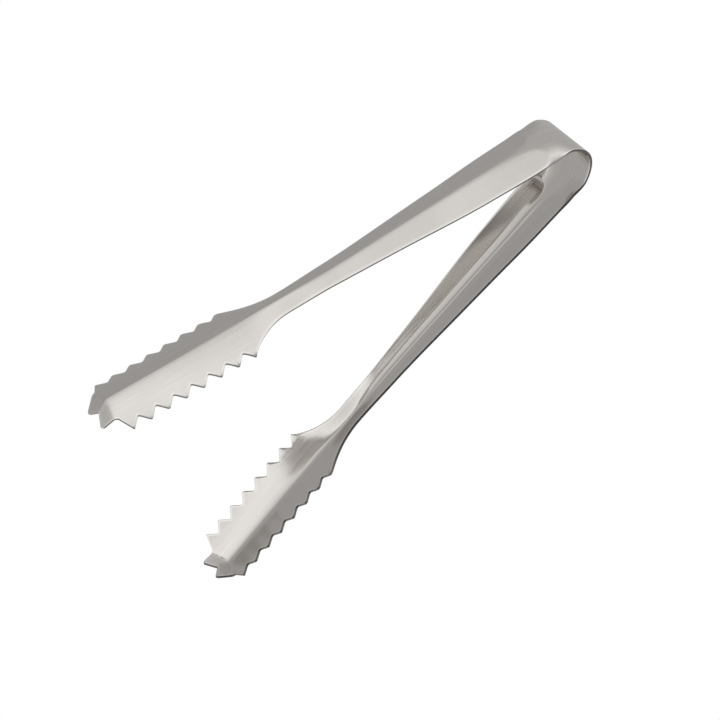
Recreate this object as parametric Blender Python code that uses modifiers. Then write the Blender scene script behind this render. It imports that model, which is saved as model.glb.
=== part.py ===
"""Spring ice tongs, pressed from one strip of stainless sheet.

The strip is a flat spring bow in the middle and two arms. Each arm is pressed to a V section whose ridge runs
along the outside, narrows to a neck and then flares into a serrated scoop that ends in a claw bent inwards.
The tongs lie on their side: tips towards +X, arms opening along Y, the strip's width along Z. The origin is
at the middle of the base. The sheet is divided only where it bends in use, between the bow and each arm.

Every surface is the middle of the sheet, given by two numbers: s, the distance along the ridge from the line
where the bow meets the arm (less than zero on the bow), and z, the distance across the strip.
"""

import math

import bmesh
import bpy
from mathutils import Vector

# Driving dimensions, in metres and degrees
SHEET = 0.0010  # thickness of the sheet
GAP = 0.0003  # clearance between the bow and each arm, where the sheet is divided

BOW_RADIUS = 0.0130  # to the middle of the sheet
BOW_STRETCH = 0.0022  # how much deeper the bow is than a round one
BOW_WIDTH = 0.0191
ARM_ANGLE = 11.6  # between the tongs' centre line and an arm, where it leaves the bow
ARM_SWEEP = 5.2  # how far the arm has curved outwards by the end of its ridge

RIDGE_RISE = 0.0009  # how far the ridge stands out past the line of the bow
RIDGE_RISE_LENGTH = 0.0255
RIDGE_DIP = 0.0004  # how far it sinks again, at most, between two places before and after the neck
RIDGE_DIP_FROM = 0.050
RIDGE_DIP_TO = 0.110
NECK_AT = 0.1010  # the narrowest place
NECK_WIDTH = 0.0090
FLARE_RADIUS = 0.0310  # of the edge between the neck and the first tooth
FLARE_LENGTH = 0.0180  # from the neck to the tip of the first tooth

TEETH = 8  # along each edge of a scoop
TOOTH_PITCH = 0.00637
TOOTH_DEPTH = 0.00245
SCOOP_WIDTH = 0.0227  # across the tips of the first teeth
SCOOP_END_WIDTH = 0.0223  # across the tips of the last teeth

FOLD_AT_BOW = 0.28  # slope of the V's sides where it starts
FOLD_ON_HANDLE = 0.39
HANDLE_FOLD_LENGTH = 0.035  # over which it steepens to that of the handle
FOLD_AT_NECK = 0.56
NECK_FOLD_LENGTH = 0.017  # before the neck, over which it steepens again
FOLD_AT_SCOOP = 0.31
FOLD_AT_CLAW = 0.39
SCOOP_CROWN = 20.0  # how much steeper a scoop's side gets towards its edge, per metre
RIDGE_ROUND = 0.0007  # half-width of the rounding on the ridge of an arm
SCOOP_ROUND = 0.0010  # and in the scoop
CREASE_WIDE = 0.0010  # from the ridge to the crease that the V starts at, where bow and arm meet: the slow part
CREASE_LONG = 0.014  # length over which that dies out along the arm
CREASE_OUT = 0.0024  # and the part that sweeps out to the edge
CREASE_SHORT = 0.0018
CREASE_ROUND = 0.00012
SHOULDER = 0.0022  # how far the edges are already drawn in at the end of the bow
SHOULDER_START = 0.0085  # before the end of the bow
SHOULDER_LENGTH = 0.0065

CLAW_CORNER = 0.0021  # from the tip of the last tooth to the corner where the claw turns inwards
CLAW_ANGLE = 49.5  # how far the claw leans inwards from the ridge
CLAW_FOLD = 0.12
CLAW_ROUND = 0.0005
CLAW_NOTCH_AT = 0.0004  # beyond the corner, where the notch beside each end tooth is cut
CLAW_NOTCH_WIDTH = 0.0135
CLAW_CENTRE_AT = 0.0031  # beyond the corner, where the notch between the end teeth ends
CLAW_TIP_AT = 0.0052
CLAW_TIP_WIDTH = 0.0079

STEEL_OUTSIDE = (0.62, 0.61, 0.60, 1.0)

# Sizes that follow from them
START_ANGLE = math.radians(ARM_ANGLE)
CLAW_SLOPE = math.tan(math.radians(CLAW_ANGLE))
HALF_BOW = BOW_RADIUS * (math.pi / 2 - START_ANGLE)  # from the apex of the bow to an arm
HALF_PITCH = TOOTH_PITCH / 2
FIRST_TOOTH_AT = NECK_AT + FLARE_LENGTH
LAST_TOOTH_AT = FIRST_TOOTH_AT + (TEETH - 1) * TOOTH_PITCH
RIDGE_LENGTH = LAST_TOOTH_AT + CLAW_CORNER  # from the bow to the corner of the claw
SWEEP = math.radians(ARM_SWEEP) / RIDGE_LENGTH  # curvature of an arm
NOTCH_AT = max(RIDGE_LENGTH + CLAW_NOTCH_AT, LAST_TOOTH_AT + HALF_PITCH / 2)

# The mesh
HANDLE_STEP = 0.0045
FLARE_STEP = 0.0022
BOW_ROWS = 36
CLAW_ROWS = 4
PATH_STEP = 0.00005  # over which the path's direction is measured
COLUMNS = (0.0, 0.1, 0.22, 0.42, 0.64, 0.85, 1.0)  # from the ridge to the edge


def ease(t):
    """0 to 1 along a smooth S, held at both ends."""
    t = min(max(t, 0.0), 1.0)
    return t * t * (3 - 2 * t)


def larger(a, b, rounding):
    """The larger of the two, with the change between them rounded."""
    return (a + b + math.hypot(a - b, rounding)) / 2


def path(s):
    """Point of the strip's path at s, on the half of the tongs at +Y: round the bow, then out along the arm."""
    if s < 0:
        angle = START_ANGLE - s / BOW_RADIUS
        x = -BOW_RADIUS * math.sin(angle) - BOW_STRETCH * ease(-s / HALF_BOW)
        return Vector((x, BOW_RADIUS * math.cos(angle), 0))
    angle = START_ANGLE + SWEEP * s
    start = BOW_RADIUS * Vector((-math.sin(START_ANGLE), math.cos(START_ANGLE), 0))
    run = Vector((math.sin(angle) - math.sin(START_ANGLE), math.cos(START_ANGLE) - math.cos(angle), 0))
    return start + run / SWEEP


def outwards(s):
    """Direction square to the path at s, away from the other arm."""
    along = (path(s + PATH_STEP) - path(s - PATH_STEP)).normalized()
    return Vector((-along.y, along.x, 0))


def ridge_height(s):
    turn = 2 * math.pi * (s - RIDGE_DIP_FROM) / (RIDGE_DIP_TO - RIDGE_DIP_FROM)
    dip = RIDGE_DIP * (1 - math.cos(turn)) / 2 if RIDGE_DIP_FROM < s < RIDGE_DIP_TO else 0
    return RIDGE_RISE * ease(s / RIDGE_RISE_LENGTH) - dip


def fold_slope(s):
    """Slope of the sides of the V."""
    if s < NECK_AT:
        handle = FOLD_AT_BOW + (FOLD_ON_HANDLE - FOLD_AT_BOW) * ease(s / HANDLE_FOLD_LENGTH)
        return handle + (FOLD_AT_NECK - FOLD_ON_HANDLE) * ease(1 - (NECK_AT - s) / NECK_FOLD_LENGTH)
    if s < FIRST_TOOTH_AT:
        along = (s - NECK_AT) / (FIRST_TOOTH_AT - NECK_AT)
        return FOLD_AT_NECK + (FOLD_AT_SCOOP - FOLD_AT_NECK) * ease(along)
    along = (s - FIRST_TOOTH_AT) / (RIDGE_LENGTH - FIRST_TOOTH_AT)
    return FOLD_AT_SCOOP + (FOLD_AT_CLAW - FOLD_AT_SCOOP) * ease(along)


def depth(s, z):
    """How far inwards from the ridge the sheet lies at (s, z)."""
    scooped = ease((s - NECK_AT) / (FIRST_TOOTH_AT - NECK_AT))
    rounding = RIDGE_ROUND + (SCOOP_ROUND - RIDGE_ROUND) * scooped
    across = math.hypot(z, rounding) - rounding + SCOOP_CROWN * scooped * z**2
    crease = CREASE_WIDE * math.exp(-s / CREASE_LONG) + CREASE_OUT * math.exp(-s / CREASE_SHORT)
    shoulder = SHOULDER * ease((s + SHOULDER_START) / SHOULDER_LENGTH) * abs(2 * z / BOW_WIDTH) ** 4
    pressed = larger(shoulder, fold_slope(s) * (across - crease), CREASE_ROUND)
    claw = CLAW_SLOPE * (s - RIDGE_LENGTH) + CLAW_FOLD * across
    return larger(pressed, claw, CLAW_ROUND) if s > FIRST_TOOTH_AT else pressed


def half_width(s):
    """From the ridge to the cut edge, out to the notch beside the end tooth."""
    if s <= 0:
        return BOW_WIDTH / 2
    if s <= NECK_AT:
        return (BOW_WIDTH - (BOW_WIDTH - NECK_WIDTH) * ease(s / NECK_AT)) / 2
    first_tip = SCOOP_WIDTH / 2
    if s < FIRST_TOOTH_AT:
        arc = FLARE_RADIUS - math.sqrt(FLARE_RADIUS**2 - (s - NECK_AT) ** 2)
        full = FLARE_RADIUS - math.sqrt(FLARE_RADIUS**2 - (FIRST_TOOTH_AT - NECK_AT) ** 2)
        return NECK_WIDTH / 2 + (first_tip - NECK_WIDTH / 2) * arc / full
    if s > LAST_TOOTH_AT:
        along = (s - LAST_TOOTH_AT) / (NOTCH_AT - LAST_TOOTH_AT)
        return (SCOOP_END_WIDTH + (CLAW_NOTCH_WIDTH - SCOOP_END_WIDTH) * along) / 2
    along = (s - FIRST_TOOTH_AT) / (LAST_TOOTH_AT - FIRST_TOOTH_AT)
    tip = (SCOOP_WIDTH + (SCOOP_END_WIDTH - SCOOP_WIDTH) * along) / 2
    from_tip = abs((s - FIRST_TOOTH_AT) / TOOTH_PITCH - round((s - FIRST_TOOTH_AT) / TOOTH_PITCH)) * 2
    return tip - TOOTH_DEPTH * from_tip


def even(start, end, step):
    """Stations from start up to, but not including, end."""
    count = max(1, round((end - start) / step))
    return [start + (end - start) * i / count for i in range(count)]


def arm_stations():
    stations = even(GAP / 2, NECK_AT, HANDLE_STEP) + even(NECK_AT, FIRST_TOOTH_AT, FLARE_STEP)
    stations += [FIRST_TOOTH_AT + i * HALF_PITCH for i in range(2 * TEETH - 1)]
    return stations + [(LAST_TOOTH_AT + NOTCH_AT) / 2, NOTCH_AT]


def arm_point(stations, row, across):
    """(s, z) of one grid point: rows past the stations run out to the end teeth."""
    side = math.copysign(1.0, across)
    share = abs(across)
    if row < len(stations):
        s = stations[row]
        edge = half_width(s)
        root = SCOOP_END_WIDTH / 2 - TOOTH_DEPTH
        return s, side * (edge if share == 1 else share * min(edge, root))
    out = (row - len(stations) + 1) / CLAW_ROWS
    end = RIDGE_LENGTH + CLAW_CENTRE_AT + (CLAW_TIP_AT - CLAW_CENTRE_AT) * share
    half = (CLAW_NOTCH_WIDTH + (CLAW_TIP_WIDTH - CLAW_NOTCH_WIDTH) * out) / 2
    return NOTCH_AT + (end - NOTCH_AT) * out, side * share * half


def formed(s, z, side):
    """The point in space of (s, z) on the half of the tongs at +Y or, for side -1, at -Y."""
    point = path(s) + (ridge_height(s) - depth(s, z)) * outwards(s)
    return Vector((point.x, side * point.y, z))


def pressed_sheet(name, rows, place, origin):
    """An object of the sheet's thickness whose grid of rows and columns is placed by place(row, across)."""
    across = [-share for share in reversed(COLUMNS[1:])] + list(COLUMNS)
    mesh = bpy.data.meshes.new(name)
    sheet = bmesh.new()
    bmesh.ops.create_grid(sheet, x_segments=rows - 1, y_segments=len(across) - 1, size=1)
    for vertex in sheet.verts:
        row = round((vertex.co.x + 1) / 2 * (rows - 1))
        column = round((vertex.co.y + 1) / 2 * (len(across) - 1))
        vertex.co = place(row, across[column]) - origin
    sheet.to_mesh(mesh)
    sheet.free()
    mesh.shade_smooth()
    piece = bpy.data.objects.new(name, mesh)
    piece.location = origin
    thickness = piece.modifiers.new("sheet thickness", "SOLIDIFY")
    thickness.thickness = SHEET
    thickness.offset = 0
    thickness.use_even_offset = True
    return piece


def bow():
    def place(row, across):
        along = (2 * row / (BOW_ROWS - 1) - 1) * (HALF_BOW - GAP / 2)
        return formed(abs(along) - HALF_BOW, across * BOW_WIDTH / 2, math.copysign(1.0, along))

    return pressed_sheet("spring_bow", BOW_ROWS, place, Vector((0, 0, 0)))


def hinge(side):
    """Centroid of one half of the bow's arc, about which an arm turns as that half bends."""
    centroid = sum((path(-HALF_BOW * i / BOW_ROWS) for i in range(BOW_ROWS + 1)), Vector()) / (BOW_ROWS + 1)
    return Vector((centroid.x, side * centroid.y, 0))


def arm(name, side):
    stations = arm_stations()

    def place(row, across):
        s, z = arm_point(stations, row, across)
        return formed(s, z, side)

    return pressed_sheet(name, len(stations) + CLAW_ROWS, place, hinge(side))


def steel():
    material = bpy.data.materials.new("stainless steel")
    material.use_nodes = True
    shader = material.node_tree.nodes["Principled BSDF"]
    shader.inputs["Base Color"].default_value = STEEL_OUTSIDE
    shader.inputs["Metallic"].default_value = 1.0
    shader.inputs["Roughness"].default_value = 0.3
    return material


def rest_on_base(pieces):
    """Moves the pieces so that the origin is at the middle of their base."""
    bpy.context.view_layer.update()
    graph = bpy.context.evaluated_depsgraph_get()
    corners = []
    for piece in pieces:
        shape = piece.evaluated_get(graph)
        corners += [shape.matrix_world @ Vector(corner) for corner in shape.bound_box]
    low = Vector(min(corner[axis] for corner in corners) for axis in range(3))
    high = Vector(max(corner[axis] for corner in corners) for axis in range(3))
    for piece in pieces:
        piece.location -= Vector(((low.x + high.x) / 2, (low.y + high.y) / 2, low.z))


def main():
    for old in list(bpy.data.objects):
        bpy.data.objects.remove(old)
    tongs = bpy.data.collections.new("ice tongs")
    bpy.context.scene.collection.children.link(tongs)
    pieces = [bow(), arm("left_arm", 1), arm("right_arm", -1)]
    for piece in pieces:
        piece.data.materials.append(steel())
        tongs.objects.link(piece)
    rest_on_base(pieces)


main()
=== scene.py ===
"""Spring ice tongs, pressed from one strip of stainless steel sheet: the finished look.

The strip is drawn as two halves that meet at the apex of the bow, so that each can bend with its own arm.
A point of the strip is given by s, the distance along its ridge from the line where the bow meets the arm
(less than zero on the bow), and z, the distance across it, as in the solid model. Lengths are in metres.
"""

import math

import bmesh
import bpy
from mathutils import Matrix, Vector
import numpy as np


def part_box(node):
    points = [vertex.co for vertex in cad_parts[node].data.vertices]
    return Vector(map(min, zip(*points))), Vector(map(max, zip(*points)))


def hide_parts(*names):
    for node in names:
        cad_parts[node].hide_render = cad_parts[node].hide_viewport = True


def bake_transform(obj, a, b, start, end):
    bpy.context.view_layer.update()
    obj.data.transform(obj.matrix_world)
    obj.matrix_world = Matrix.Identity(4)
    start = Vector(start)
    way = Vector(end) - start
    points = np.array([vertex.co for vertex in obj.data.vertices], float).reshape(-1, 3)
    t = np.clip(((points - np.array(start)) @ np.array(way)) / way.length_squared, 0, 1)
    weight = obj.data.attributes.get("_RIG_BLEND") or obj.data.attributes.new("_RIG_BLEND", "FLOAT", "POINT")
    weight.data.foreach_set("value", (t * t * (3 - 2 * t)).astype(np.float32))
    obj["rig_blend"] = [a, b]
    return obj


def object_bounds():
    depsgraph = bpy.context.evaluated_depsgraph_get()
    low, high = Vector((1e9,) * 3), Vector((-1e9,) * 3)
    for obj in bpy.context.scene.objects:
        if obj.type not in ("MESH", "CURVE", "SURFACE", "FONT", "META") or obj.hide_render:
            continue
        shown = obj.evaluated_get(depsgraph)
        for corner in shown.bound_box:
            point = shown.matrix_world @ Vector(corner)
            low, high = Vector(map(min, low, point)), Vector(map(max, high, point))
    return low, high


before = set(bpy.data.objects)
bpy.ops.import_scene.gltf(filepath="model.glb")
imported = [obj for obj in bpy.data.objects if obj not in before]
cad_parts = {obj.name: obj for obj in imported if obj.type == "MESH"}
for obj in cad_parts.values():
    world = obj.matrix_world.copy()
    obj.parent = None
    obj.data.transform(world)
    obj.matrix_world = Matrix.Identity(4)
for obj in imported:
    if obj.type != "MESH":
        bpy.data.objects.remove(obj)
cad_box = [list(corner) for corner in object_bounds()]

# The sheet and its path
SHEET = 0.0010
BOW_RADIUS = 0.0130
BOW_STRETCH = 0.0022
BOW_WIDTH = 0.0191
ARM_ANGLE = math.radians(11.6)
ARM_SWEEP = math.radians(5.2)
RIDGE_RISE = 0.0009
RIDGE_RISE_LENGTH = 0.0255
RIDGE_DIP = 0.0004
RIDGE_DIP_FROM = 0.050
RIDGE_DIP_TO = 0.110
HALF_BOW = BOW_RADIUS * (math.pi / 2 - ARM_ANGLE)
PATH_STEP = 0.00005

# The outline
NECK_AT = 0.1010
NECK_WIDTH = 0.0090
FLARE_RADIUS = 0.0310
TEETH = 8
FIRST_TOOTH_AT = 0.1190
TOOTH_PITCH = 0.00637
TOOTH_DEPTH = 0.00245
TOOTH_ROUND = 0.18  # share of a flank that the rounding of the tip takes, and that of the root
SCOOP_WIDTH = 0.0227
SCOOP_END_WIDTH = 0.0223
LAST_TOOTH_AT = FIRST_TOOTH_AT + (TEETH - 1) * TOOTH_PITCH
RIDGE_LENGTH = LAST_TOOTH_AT + 0.0021
CURVATURE = ARM_SWEEP / RIDGE_LENGTH
ROOT = SCOOP_END_WIDTH / 2 - TOOTH_DEPTH

# The pressing
FOLD_AT_BOW = 0.28
FOLD_ON_HANDLE = 0.39
HANDLE_FOLD_LENGTH = 0.035
NECK_FOLD_FROM = 0.084
FOLD_AT_NECK = 0.56
FOLD_AT_SCOOP = 0.31
FOLD_AT_CLAW = 0.39
SCOOP_CROWN = 20.0
RIDGE_ROUND = 0.0007
SCOOP_ROUND = 0.0010
# On the outside the ridge is sharper than in the solids, and the bottom of the valley inside is flatter.
RIDGE_COINED = 0.0003  # the rounding of the ridge on the outside
COINED_FROM = 0.001
COINED_LENGTH = 0.012
VALLEY_FLAT = 0.45  # share of the V's slope that a strip along the bottom of the valley loses
VALLEY_WIDE = 0.0037  # half-width of that strip at the bow
VALLEY_TAPER = 0.020  # half-width that it loses with each metre along the arm
VALLEY_ROUND = 0.0002  # the rounding where it meets the V's sides
CREASE_WIDE = 0.0010
CREASE_LONG = 0.014
CREASE_OUT = 0.0024
CREASE_SHORT = 0.0018
CREASE_ROUND = 0.00012
SHOULDER = 0.0022
SHOULDER_START = 0.0085
SHOULDER_LENGTH = 0.0065
CLAW_SLOPE = math.tan(math.radians(49.5))
CLAW_FOLD = 0.12
CLAW_ROUND = 0.0005
NOTCH_AT = RIDGE_LENGTH + 0.0004
NOTCH_WIDTH = 0.0135
CENTRE_NOTCH_AT = RIDGE_LENGTH + 0.0031
CLAW_TIP_AT = RIDGE_LENGTH + 0.0052
CLAW_TIP_WIDTH = 0.0079

# The mesh
APEX_STEP = 0.00005  # the first row after the apex, which keeps the two halves level where they meet
BOW_STEP = 0.0006
CREASE_FROM = -0.010  # the rows are closest between here
CREASE_TO = 0.012  # and here
CREASE_STEP = 0.0004
HANDLE_STEP = 0.0016
FLARE_STEP = 0.0006
END_STEP = 0.0005
COLUMNS = 28  # on each side of the ridge
TEETH_COLUMNS = 4  # of them, the outer ones, evenly spaced
INNER_WIDTH = 0.8  # share of the half-width at the tooth roots, or of a narrower strip's, for the others
INNER_SPREAD = 1.6  # the power by which those crowd towards the ridge
TOOTH_ROWS = (0, 0.06, 0.12, 0.18, 0.5, 0.82, 0.88, 0.94)  # on each flank of a tooth
CLAW_ROWS = 22
CLAW_TIP_ROUND = 0.2  # share of the claw that the rounding of its tips takes
EDGE_ROUND = 0.00012  # of the sheared edge, after tumbling
CUT_ANGLE = math.radians(40)  # the least turn at an edge of the sheet that is rounded
SHARP_ANGLE = math.radians(50)  # and the least that is shaded as an edge
APEX_SLACK = 0.00001

# The order of the finishes in a piece's slots
OUTSIDE, INSIDE, CUT = 0, 1, 2

# The light of the tent: elevation in degrees and radiance
TENT = ((-90, 0.47), (90, 0.24), (-60, 0.49), (-45, 0.50), (-35, 0.53), (-25, 0.70), (-15, 0.86), (-5, 0.97),
        (5, 1.20), (12, 1.30), (20, 1.08), (28, 0.84), (38, 0.52), (52, 0.32))
TENT_PEAK = 1.30
TABLE_REACH = 3

# The finishes
BUNDLE = (0.022, 0.0005)  # length and width of a bundle of the abrasive's lines
LINE = (0.005, 0.00014)  # and of the lines that show in the relief
SMEAR = 0.020
SCORES = 0.0002
BURNISH_AND_PAINTED_HIGHLIGHT = (0.0002, 0.0011)  # how far from a cut edge the burnishing (lower roughness) and the painted highlight (lighter colour) start to fade, and where they end
POLISHED = (0.070, 0.125)  # where along the arm the handle's roughness ends and the scoop's starts

# The camera
CAMERA_AIM = (0.0104, 0.0062, 0.0063)  # from the middle of the object's box
CAMERA_AZIMUTH = math.radians(10.05)
CAMERA_ELEVATION = math.radians(35.49)
CAMERA_ROLL = math.radians(133.4)
CAMERA_DISTANCE = 0.776
CAMERA_LENS = 120

STRIP_MAP = "strip"


def ease(t):
    """0 to 1 along a smooth S, held at both ends."""
    t = min(max(t, 0.0), 1.0)
    return t * t * (3 - 2 * t)


def larger(a, b, rounding):
    """The larger of the two, with the change between them rounded."""
    return (a + b + math.hypot(a - b, rounding)) / 2


def path(s):
    """The line that the strip follows, from the middle of the bow, for the arm at +Y."""
    if s < 0:
        angle = ARM_ANGLE - s / BOW_RADIUS
        x = -BOW_RADIUS * math.sin(angle) - BOW_STRETCH * ease(-s / HALF_BOW)
        return Vector((x, BOW_RADIUS * math.cos(angle), 0))
    angle = ARM_ANGLE + CURVATURE * s
    start = BOW_RADIUS * Vector((-math.sin(ARM_ANGLE), math.cos(ARM_ANGLE), 0))
    run = Vector((math.sin(angle) - math.sin(ARM_ANGLE), math.cos(ARM_ANGLE) - math.cos(angle), 0))
    return start + run / CURVATURE


def outwards(s):
    """The direction square to the path, away from the other arm."""
    if s < PATH_STEP - HALF_BOW:
        return Vector((-1, 0, 0))
    along = (path(s + PATH_STEP) - path(s - PATH_STEP)).normalized()
    return Vector((-along.y, along.x, 0))


def ridge_height(s):
    """How far the ridge stands out from the path."""
    turn = 2 * math.pi * (s - RIDGE_DIP_FROM) / (RIDGE_DIP_TO - RIDGE_DIP_FROM)
    dip = RIDGE_DIP * (1 - math.cos(turn)) / 2 if RIDGE_DIP_FROM < s < RIDGE_DIP_TO else 0
    return RIDGE_RISE * ease(s / RIDGE_RISE_LENGTH) - dip


def towards_neck(s):
    """0 to 1 along the end of the handle, up to the neck."""
    return ease((s - NECK_FOLD_FROM) / (NECK_AT - NECK_FOLD_FROM))


def fold_slope(s):
    """The slope of the V's sides."""
    if s < NECK_AT:
        handle = FOLD_AT_BOW + (FOLD_ON_HANDLE - FOLD_AT_BOW) * ease(s / HANDLE_FOLD_LENGTH)
        return handle + (FOLD_AT_NECK - FOLD_ON_HANDLE) * towards_neck(s)
    if s < FIRST_TOOTH_AT:
        along = (s - NECK_AT) / (FIRST_TOOTH_AT - NECK_AT)
        return FOLD_AT_NECK + (FOLD_AT_SCOOP - FOLD_AT_NECK) * ease(along)
    along = (s - FIRST_TOOTH_AT) / (RIDGE_LENGTH - FIRST_TOOTH_AT)
    return FOLD_AT_SCOOP + (FOLD_AT_CLAW - FOLD_AT_SCOOP) * ease(along)


def scooped(s):
    """0 on the handle to 1 on the scoop, along the flare."""
    return ease((s - NECK_AT) / (FIRST_TOOTH_AT - NECK_AT))


def ridge_rounding(s):
    """The rounding of the ridge, which is wider on the scoop."""
    return RIDGE_ROUND + (SCOOP_ROUND - RIDGE_ROUND) * scooped(s)


def across_fold(s, z):
    """How far down the side of a V of slope 1 the point lies."""
    rounding = ridge_rounding(s)
    return math.hypot(z, rounding) - rounding + SCOOP_CROWN * scooped(s) * z * z


def depth(s, z):
    """How far in from the ridge the sheet lies."""
    across = across_fold(s, z)
    crease = CREASE_WIDE * math.exp(-s / CREASE_LONG) + CREASE_OUT * math.exp(-s / CREASE_SHORT)
    shoulder = SHOULDER * ease((s + SHOULDER_START) / SHOULDER_LENGTH) * abs(2 * z / BOW_WIDTH) ** 4
    pressed = larger(shoulder, fold_slope(s) * (across - crease), CREASE_ROUND)
    claw = CLAW_SLOPE * (s - RIDGE_LENGTH) + CLAW_FOLD * across
    return larger(pressed, claw, CLAW_ROUND) if s > FIRST_TOOTH_AT else pressed


def rounded(t):
    """0 to 1 along a flank of a tooth, with its tip and its root rounded."""
    steep = 1 / (1 - TOOTH_ROUND)
    if t < TOOTH_ROUND:
        return steep * t * t / (2 * TOOTH_ROUND)
    if t > 1 - TOOTH_ROUND:
        return 1 - steep * (1 - t) ** 2 / (2 * TOOTH_ROUND)
    return steep * (t - TOOTH_ROUND / 2)


def half_width(s):
    """Half the width of the strip, with its teeth."""
    if s <= 0:
        return BOW_WIDTH / 2
    if s <= NECK_AT:
        return (BOW_WIDTH - (BOW_WIDTH - NECK_WIDTH) * ease(s / NECK_AT)) / 2
    if s < FIRST_TOOTH_AT:
        arc = FLARE_RADIUS - math.sqrt(FLARE_RADIUS**2 - (s - NECK_AT) ** 2)
        full = FLARE_RADIUS - math.sqrt(FLARE_RADIUS**2 - (FIRST_TOOTH_AT - NECK_AT) ** 2)
        return NECK_WIDTH / 2 + (SCOOP_WIDTH - NECK_WIDTH) / 2 * arc / full
    if s > LAST_TOOTH_AT:
        along = (s - LAST_TOOTH_AT) / (NOTCH_AT - LAST_TOOTH_AT)
        return (SCOOP_END_WIDTH + (NOTCH_WIDTH - SCOOP_END_WIDTH) * along) / 2
    along = (s - FIRST_TOOTH_AT) / (LAST_TOOTH_AT - FIRST_TOOTH_AT)
    tip = (SCOOP_WIDTH + (SCOOP_END_WIDTH - SCOOP_WIDTH) * along) / 2
    turns = (s - FIRST_TOOTH_AT) / TOOTH_PITCH
    from_tip = abs(turns - round(turns)) * 2
    return tip - TOOTH_DEPTH * rounded(from_tip)


def even(start, end, step):
    """Even steps of about this size from the start, without the end."""
    count = max(1, round((end - start) / step))
    return [start + (end - start) * i / count for i in range(count)]


def stations():
    """The rows of the mesh from the apex of the bow to the notches beside the end teeth."""
    rows = [-HALF_BOW] + even(-HALF_BOW + APEX_STEP, CREASE_FROM, BOW_STEP)
    rows += even(CREASE_FROM, CREASE_TO, CREASE_STEP) + even(CREASE_TO, NECK_AT, HANDLE_STEP)
    rows += even(NECK_AT, FIRST_TOOTH_AT, FLARE_STEP)
    for flank in range(2 * (TEETH - 1)):
        rows += [FIRST_TOOTH_AT + (flank + share) * TOOTH_PITCH / 2 for share in TOOTH_ROWS]
    return rows + even(LAST_TOOTH_AT, NOTCH_AT, END_STEP) + [NOTCH_AT]


def strip_point(rows, row, column):
    """s, z and the distance from the cut edge of a point of the mesh."""
    side = math.copysign(1.0, column)
    column = abs(column)
    if row < len(rows):
        s = rows[row]
        edge = half_width(s)
        inner_columns = COLUMNS - TEETH_COLUMNS
        inner = INNER_WIDTH * min(edge, ROOT)
        if column <= inner_columns:
            z = inner * (column / inner_columns) ** INNER_SPREAD
        else:
            z = inner + (edge - inner) * (column - inner_columns) / TEETH_COLUMNS
        return s, side * z, edge - z
    out = (row - len(rows) + 1) / CLAW_ROWS
    share = column / COLUMNS
    near_end, near_side = [max(0.0, 1 - (1 - part) / CLAW_TIP_ROUND) for part in (out, share)]
    if near_end and near_side:
        inwards = 1 - max(near_end, near_side) / math.hypot(near_end, near_side)
        out -= inwards * near_end * CLAW_TIP_ROUND
        share -= inwards * near_side * CLAW_TIP_ROUND
    length = CENTRE_NOTCH_AT + (CLAW_TIP_AT - CENTRE_NOTCH_AT) * share - NOTCH_AT
    half = (NOTCH_WIDTH + (CLAW_TIP_WIDTH - NOTCH_WIDTH) * out) / 2
    return NOTCH_AT + length * out, side * share * half, min((1 - share) * half, (1 - out) * length)


def strip_half(name, side, middle, materials):
    """Half of the strip, from the apex of the bow to the claw of one arm."""
    rows = stations()
    count = len(rows) + CLAW_ROWS
    sheet = bmesh.new()
    bmesh.ops.create_grid(sheet, x_segments=count - 1, y_segments=2 * COLUMNS, size=1)
    layers = [sheet.verts.layers.float.new(kind) for kind in ("along", "across", "from_edge")]
    for vertex in sheet.verts:
        row = round((vertex.co.x + 1) / 2 * (count - 1))
        column = round(vertex.co.y * COLUMNS)
        values = strip_point(rows, row, column)
        for layer, value in zip(layers, values):
            vertex[layer] = value
        s, z, _ = values
        point = path(s) + (ridge_height(s) - depth(s, z)) * outwards(s)
        vertex.co = middle + Vector((point.x, side * point.y, z))
    strip_map = sheet.loops.layers.uv.new(STRIP_MAP)
    for face in sheet.faces:
        for loop in face.loops:
            loop[strip_map].uv = (loop.vert[layers[0]], loop.vert[layers[1]])
    # The grid's faces look outwards on the arm at -Y, and are turned round on the other.
    if side > 0:
        bmesh.ops.reverse_faces(sheet, faces=sheet.faces[:])
    mesh = bpy.data.meshes.new(name)
    sheet.to_mesh(mesh)
    sheet.free()
    piece = bpy.data.objects.new(name, mesh)
    bpy.context.scene.collection.objects.link(piece)
    for material in materials:
        mesh.materials.append(material)
    thickness = piece.modifiers.new("sheet thickness", "SOLIDIFY")
    thickness.thickness = SHEET
    thickness.offset = 0
    thickness.use_even_offset = True
    thickness.material_offset = INSIDE
    thickness.material_offset_rim = CUT
    graph = bpy.context.evaluated_depsgraph_get()
    solid = bpy.data.meshes.new_from_object(piece.evaluated_get(graph))
    piece.modifiers.clear()
    piece.data = solid
    finish_solid(solid, side, middle)
    solid.shade_smooth()
    solid.set_sharp_from_angle(angle=SHARP_ANGLE)
    return piece


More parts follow.
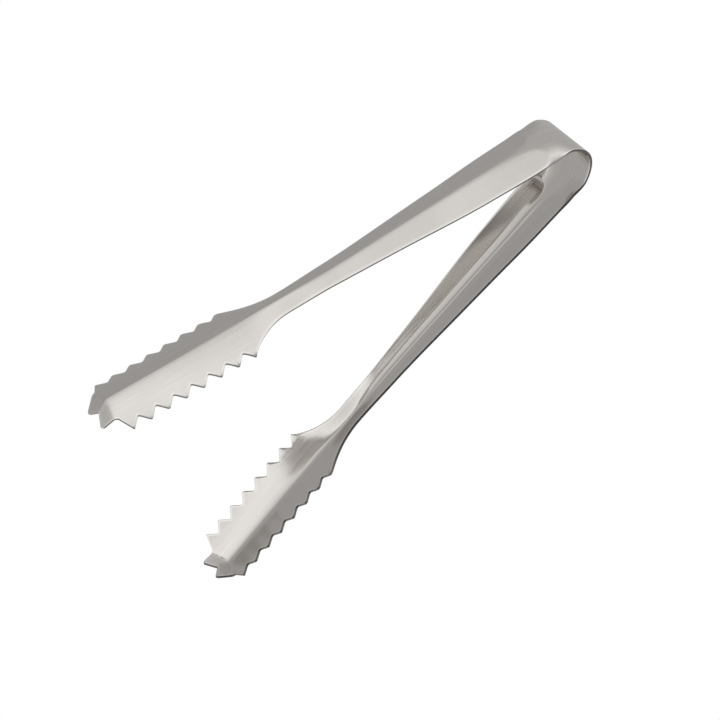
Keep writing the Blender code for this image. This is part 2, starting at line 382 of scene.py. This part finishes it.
def finish_solid(mesh, side, middle):
    """Sharpens the ridge outside, flattens the valley inside and rounds the cut edges."""
    work = bmesh.new()
    work.from_mesh(mesh)
    along = work.verts.layers.float["along"]
    across = work.verts.layers.float["across"]
    for vertex in work.verts:
        s, z = vertex[along], vertex[across]
        kinds = [face.material_index for face in vertex.link_faces]
        height = 0.0
        if OUTSIDE in kinds:
            height = math.hypot(z, ridge_rounding(s)) - math.hypot(z, RIDGE_COINED)
        elif INSIDE in kinds:
            wide = VALLEY_WIDE - VALLEY_TAPER * s
            height = -VALLEY_FLAT * (1 - towards_neck(s)) * larger(wide - abs(z), 0.0, VALLEY_ROUND)
        height *= fold_slope(s) * ease((s - COINED_FROM) / COINED_LENGTH)
        out = outwards(s)
        vertex.co += height * Vector((out.x, side * out.y, 0))

    def cut(edge):
        """The number of cut faces beside the edge, and none at the apex, where the other half carries on."""
        ends = [vertex.co for vertex in edge.verts]
        at_apex = all(abs(end.y - middle.y) < APEX_SLACK and end.x < middle.x for end in ends)
        return 0 if at_apex else sum(face.material_index == CUT for face in edge.link_faces)

    edges = [edge for edge in work.edges if cut(edge) == 1 and edge.calc_face_angle(0) > CUT_ANGLE]
    bmesh.ops.bevel(work, geom=edges, offset=EDGE_ROUND, segments=2, profile=0.5, affect="EDGES",
                    material=-1, clamp_overlap=True)
    work.to_mesh(mesh)
    work.free()


def linear(code):
    """The linear colour of an sRGB hex value."""
    parts = [int(code[i : i + 2], 16) / 255 for i in (1, 3, 5)]
    return [part / 12.92 if part <= 0.04045 else ((part + 0.055) / 1.055) ** 2.4 for part in parts] + [1.0]


def add(tree, kind, links=(), **settings):
    """A node with its settings, its sockets' values and what is linked to them."""
    made = tree.nodes.new(kind)
    for name, value in settings.items():
        setattr(made, name, value)
    for socket, value in dict(links).items():
        if isinstance(value, bpy.types.NodeSocket):
            tree.links.new(value, made.inputs[socket])
        else:
            made.inputs[socket].default_value = value
    return made


def strip_coordinates(tree, along_length, across_length):
    """Where a point lies on the strip, in lengths of a pattern that runs along it."""
    sides = []
    for name, length in (("along", along_length), ("across", across_length)):
        place = add(tree, "ShaderNodeAttribute", attribute_name=name)
        scaled = {0: place.outputs["Fac"], 1: 1 / length}
        sides.append(add(tree, "ShaderNodeMath", scaled, operation="MULTIPLY"))
    return add(tree, "ShaderNodeCombineXYZ", {"X": sides[0].outputs[0], "Y": sides[1].outputs[0]}).outputs[0]


def drawn(tree, value, start, end, low, high):
    """The value, once its range from start to end has been drawn to low and high."""
    settings = {"Value": value, "From Min": start, "From Max": end, "To Min": low, "To Max": high}
    return add(tree, "ShaderNodeMapRange", settings).outputs["Result"]


def steel(name, rough_handle, rough_scoop, streaks, grain_depth, anisotropy):
    """Stainless steel sheet, most likely 18/8: a warm, light grey metal, ground or polished along the strip.

    The abrasive leaves lines that run along the strip, some a few millimetres long and some far longer, so
    reflections stretch across them. Handling and tumbling leave the last millimetre before the cut edges less
    rough, and the colour there is lightened as a painted highlight.
    """
    material = bpy.data.materials.new(name)
    material.use_nodes = True
    tree = material.node_tree
    shader = tree.nodes["Principled BSDF"]
    shader.inputs["Metallic"].default_value = 1.0
    shader.inputs["Anisotropic"].default_value = anisotropy
    shader.inputs["Anisotropic Rotation"].default_value = 0.25
    # Belt lines are about 0.05 mm apart, too fine to show, so the streaks are drawn in bundles 0.5 mm wide.
    bundle = add(tree, "ShaderNodeTexNoise", {"Vector": strip_coordinates(tree, *BUNDLE), "Scale": 1.0,
                                             "Detail": 3.0, "Roughness": 0.6}).outputs["Fac"]
    line = add(tree, "ShaderNodeTexNoise", {"Vector": strip_coordinates(tree, *LINE), "Scale": 1.0,
                                           "Detail": 2.0, "Roughness": 0.5}).outputs["Fac"]
    place = add(tree, "ShaderNodeTexCoord")
    # Smears from handling, about 20 mm across
    smear = add(tree, "ShaderNodeTexNoise", {"Vector": place.outputs["Object"], "Scale": 1 / SMEAR,
                                            "Detail": 2.0, "Roughness": 0.5}).outputs["Fac"]
    along = add(tree, "ShaderNodeAttribute", attribute_name="along").outputs["Fac"]
    from_edge = add(tree, "ShaderNodeAttribute", attribute_name="from_edge").outputs["Fac"]
    # Mask near the cut edges: burnishing in the roughness, and a painted highlight in the colour
    burnish_and_painted_highlight = drawn(tree, from_edge, *BURNISH_AND_PAINTED_HIGHLIGHT, 1.0, 0.0)
    # Roughness: the scoops are polished further than the handles, and the streaks and smears vary it.
    base = drawn(tree, along, *POLISHED, rough_handle, rough_scoop)
    streaked = drawn(tree, bundle, 0.35, 0.65, 1 - streaks, 1 + streaks)
    smeared = drawn(tree, smear, 0.35, 0.65, 0.88, 1.14)
    rough = add(tree, "ShaderNodeMath", {0: base, 1: streaked}, operation="MULTIPLY").outputs[0]
    rough = add(tree, "ShaderNodeMath", {0: rough, 1: smeared}, operation="MULTIPLY").outputs[0]
    burnished = drawn(tree, burnish_and_painted_highlight, 0.0, 1.0, 1.0, 0.6)
    rough = add(tree, "ShaderNodeMath", {0: rough, 1: burnished}, operation="MULTIPLY").outputs[0]
    tree.links.new(rough, shader.inputs["Roughness"])
    # Colour: light steel, a little darker where a bundle of lines is deep, and lightened near the cut edges as
    # a painted highlight
    shade = add(tree, "ShaderNodeMix", {0: drawn(tree, bundle, 0.3, 0.7, 0.0, 1.0), 6: linear("#c9c5c1"),
                                       7: linear("#d2ceca")}, data_type="RGBA")
    # Painted highlight: the base colour is lightened towards #e0dddb near the cut edges
    edge = add(tree, "ShaderNodeMix", {0: drawn(tree, burnish_and_painted_highlight, 0.0, 1.0, 0.0, 0.6), 6: shade.outputs[2],
                                      7: linear("#e0dddb")}, data_type="RGBA")
    tree.links.new(edge.outputs[2], shader.inputs["Base Color"])
    bump = add(tree, "ShaderNodeBump", {"Height": line, "Strength": 1.0, "Distance": grain_depth})
    tree.links.new(bump.outputs["Normal"], shader.inputs["Normal"])
    direction = add(tree, "ShaderNodeTangent", direction_type="UV_MAP", uv_map=STRIP_MAP)
    tree.links.new(direction.outputs["Tangent"], shader.inputs["Tangent"])
    return material


def sheared_edge():
    """Sheared stainless steel: a torn, matt grey band with scores through the thickness, so it looks darker."""
    material = bpy.data.materials.new("sheared stainless edge")
    material.use_nodes = True
    tree = material.node_tree
    shader = tree.nodes["Principled BSDF"]
    shader.inputs["Metallic"].default_value = 1.0
    place = add(tree, "ShaderNodeTexCoord").outputs["Object"]
    # The scores of the shear are about 0.2 mm apart.
    torn = add(tree, "ShaderNodeTexNoise", {"Vector": place, "Scale": 1 / SCORES, "Detail": 3.0}).outputs["Fac"]
    shade = add(tree, "ShaderNodeMix", {0: drawn(tree, torn, 0.35, 0.65, 0.0, 1.0), 6: linear("#625f5c"),
                                       7: linear("#807d79")}, data_type="RGBA")
    tree.links.new(shade.outputs[2], shader.inputs["Base Color"])
    tree.links.new(drawn(tree, torn, 0.3, 0.7, 0.38, 0.55), shader.inputs["Roughness"])
    bump = add(tree, "ShaderNodeBump", {"Height": torn, "Strength": 1.0, "Distance": 0.00002})
    tree.links.new(bump.outputs["Normal"], shader.inputs["Normal"])
    return material


def studio():
    """A light tent that is brightest just above its horizon, on a white table."""
    world = bpy.data.worlds.new("light tent")
    bpy.context.scene.world = world
    world.use_nodes = True
    tree = world.node_tree
    tree.nodes.clear()
    place = add(tree, "ShaderNodeTexCoord")
    height = add(tree, "ShaderNodeSeparateXYZ", {"Vector": place.outputs["Generated"]}).outputs["Z"]
    ramp = add(tree, "ShaderNodeValToRGB", {"Fac": drawn(tree, height, -1.0, 1.0, 0.0, 1.0)})
    stops = ramp.color_ramp.elements
    for index, (elevation, light) in enumerate(TENT):
        position = (math.sin(math.radians(elevation)) + 1) / 2
        stop = stops[index] if index < 2 else stops.new(position)
        stop.position = position
        stop.color = [light / TENT_PEAK] * 3 + [1.0]
    tent = add(tree, "ShaderNodeBackground", {"Color": ramp.outputs["Color"], "Strength": TENT_PEAK})
    white = add(tree, "ShaderNodeBackground", {"Color": linear("#ffffff"), "Strength": 1.0})
    seen = add(tree, "ShaderNodeLightPath").outputs["Is Camera Ray"]
    mix = add(tree, "ShaderNodeMixShader", {0: seen, 1: tent.outputs[0], 2: white.outputs[0]})
    add(tree, "ShaderNodeOutputWorld", {"Surface": mix.outputs[0]})
    sheet = bmesh.new()
    bmesh.ops.create_grid(sheet, x_segments=1, y_segments=1, size=TABLE_REACH)
    mesh = bpy.data.meshes.new("table")
    sheet.to_mesh(mesh)
    sheet.free()
    table = bpy.data.objects.new("table", mesh)
    bpy.context.scene.collection.objects.link(table)
    paper = bpy.data.materials.new("white paper")
    paper.use_nodes = True
    tree = paper.node_tree
    tree.nodes.clear()
    glow = add(tree, "ShaderNodeEmission", {"Color": linear("#ffffff"), "Strength": 1.0})
    add(tree, "ShaderNodeOutputMaterial", {"Surface": glow.outputs[0]})
    mesh.materials.append(paper)
    # Only the camera sees the table. In the steel, the lower half of the tent stands for it.
    table.visible_glossy = False
    table.visible_diffuse = False
    table.visible_shadow = False


def camera(target):
    """The camera, aimed at the target."""
    data = bpy.data.cameras.new("camera")
    data.lens = CAMERA_LENS
    data.clip_end = 10
    made = bpy.data.objects.new("camera", data)
    bpy.context.scene.collection.objects.link(made)
    turn = Matrix.Rotation(CAMERA_AZIMUTH, 4, "Z") @ Matrix.Rotation(math.pi / 2 - CAMERA_ELEVATION, 4, "X")
    turn = turn @ Matrix.Rotation(CAMERA_ROLL, 4, "Z")
    back = (turn.to_3x3() @ Vector((0, 0, 1))).normalized()
    made.matrix_world = Matrix.Translation(target + back * CAMERA_DISTANCE) @ turn
    bpy.context.scene.camera = made


def main():
    """Draws the strip, the tent around it and the camera."""
    low, high = (Vector(corner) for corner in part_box("spring_bow"))
    middle = Vector((low.x + SHEET / 2 + BOW_STRETCH + BOW_RADIUS, 0, (low.z + high.z) / 2))
    satin = steel("satin stainless steel", rough_handle=0.30, rough_scoop=0.20, streaks=0.12,
                  grain_depth=0.0000020, anisotropy=0.5)
    polished = steel("polished stainless steel", rough_handle=0.12, rough_scoop=0.14, streaks=0.25,
                     grain_depth=0.0000008, anisotropy=0.3)
    finishes = [satin, polished, sheared_edge()]
    arms = {"left": 1, "right": -1}
    apex = middle + path(-HALF_BOW)
    for body, side in arms.items():
        piece = strip_half(body + "_half_of_strip", side, middle, finishes)
        start = path(0)
        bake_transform(piece, "bow", body, start=apex, end=middle + Vector((start.x, side * start.y, 0)))
        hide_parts(body + "_arm", "spring_bow")
    studio()
    bounds = [Vector(corner) for corner in cad_box]
    centre = (bounds[0] + bounds[1]) / 2
    camera(centre + Vector(CAMERA_AIM))
    bpy.context.scene.view_settings.view_transform = "Standard"


main()
